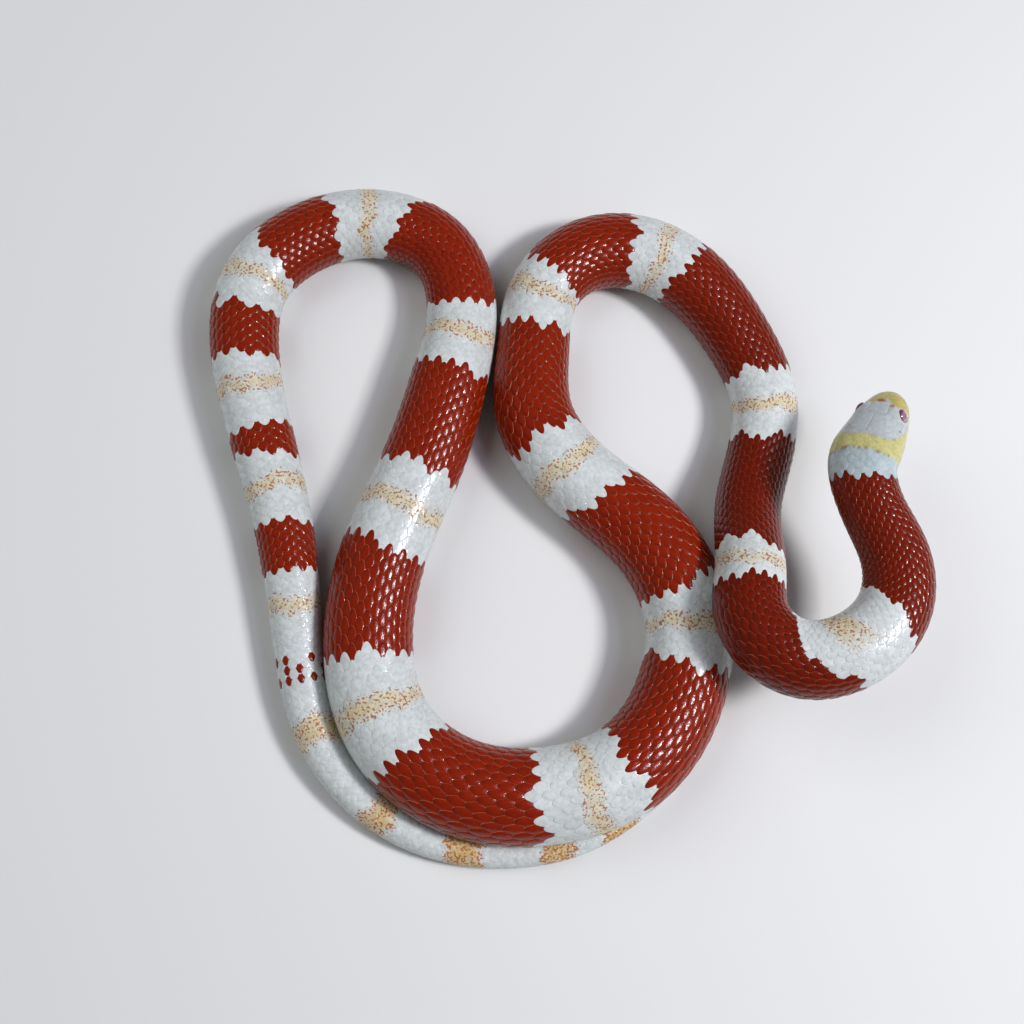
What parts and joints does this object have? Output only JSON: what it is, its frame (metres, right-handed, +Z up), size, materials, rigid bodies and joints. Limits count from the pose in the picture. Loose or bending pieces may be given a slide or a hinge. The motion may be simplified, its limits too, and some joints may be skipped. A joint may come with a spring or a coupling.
{
  "type": "milk snake",
  "caption": "Still life-size milk snake in loose bends with raised neck and head, banded red and white.",
  "frame": {"origin": "on the floor, under the middle of the animal's outline seen from above", "axes": "+Z is up, +X points to the side on which the raised head lies, +Y is the way the head faces away from the tail's end"},
  "size_m": [0.1882, 0.1862, 0.0418],
  "materials": {
    "red_scales": "satin",
    "white_scales": "satin",
    "eye": "gloss"
  },
  "bodies": {
    "root": {"head": "white_scales", "lower_jaw": "white_scales", "eye_left": "eye", "eye_right": "eye", "neck": "red_scales", "torso_1": "red_scales", "torso_2": "red_scales", "torso_3": "red_scales", "torso_4": "red_scales", "torso_5": "red_scales", "torso_6": "red_scales", "torso_7": "red_scales", "torso_8": "red_scales", "torso_9": "red_scales", "torso_10": "red_scales", "torso_11": "red_scales", "torso_12": "red_scales", "torso_13": "red_scales", "torso_14": "red_scales", "torso_15": "red_scales", "torso_16": "red_scales", "tail_base": "white_scales", "tail_tip": "white_scales"}
  },
  "joints": []
}
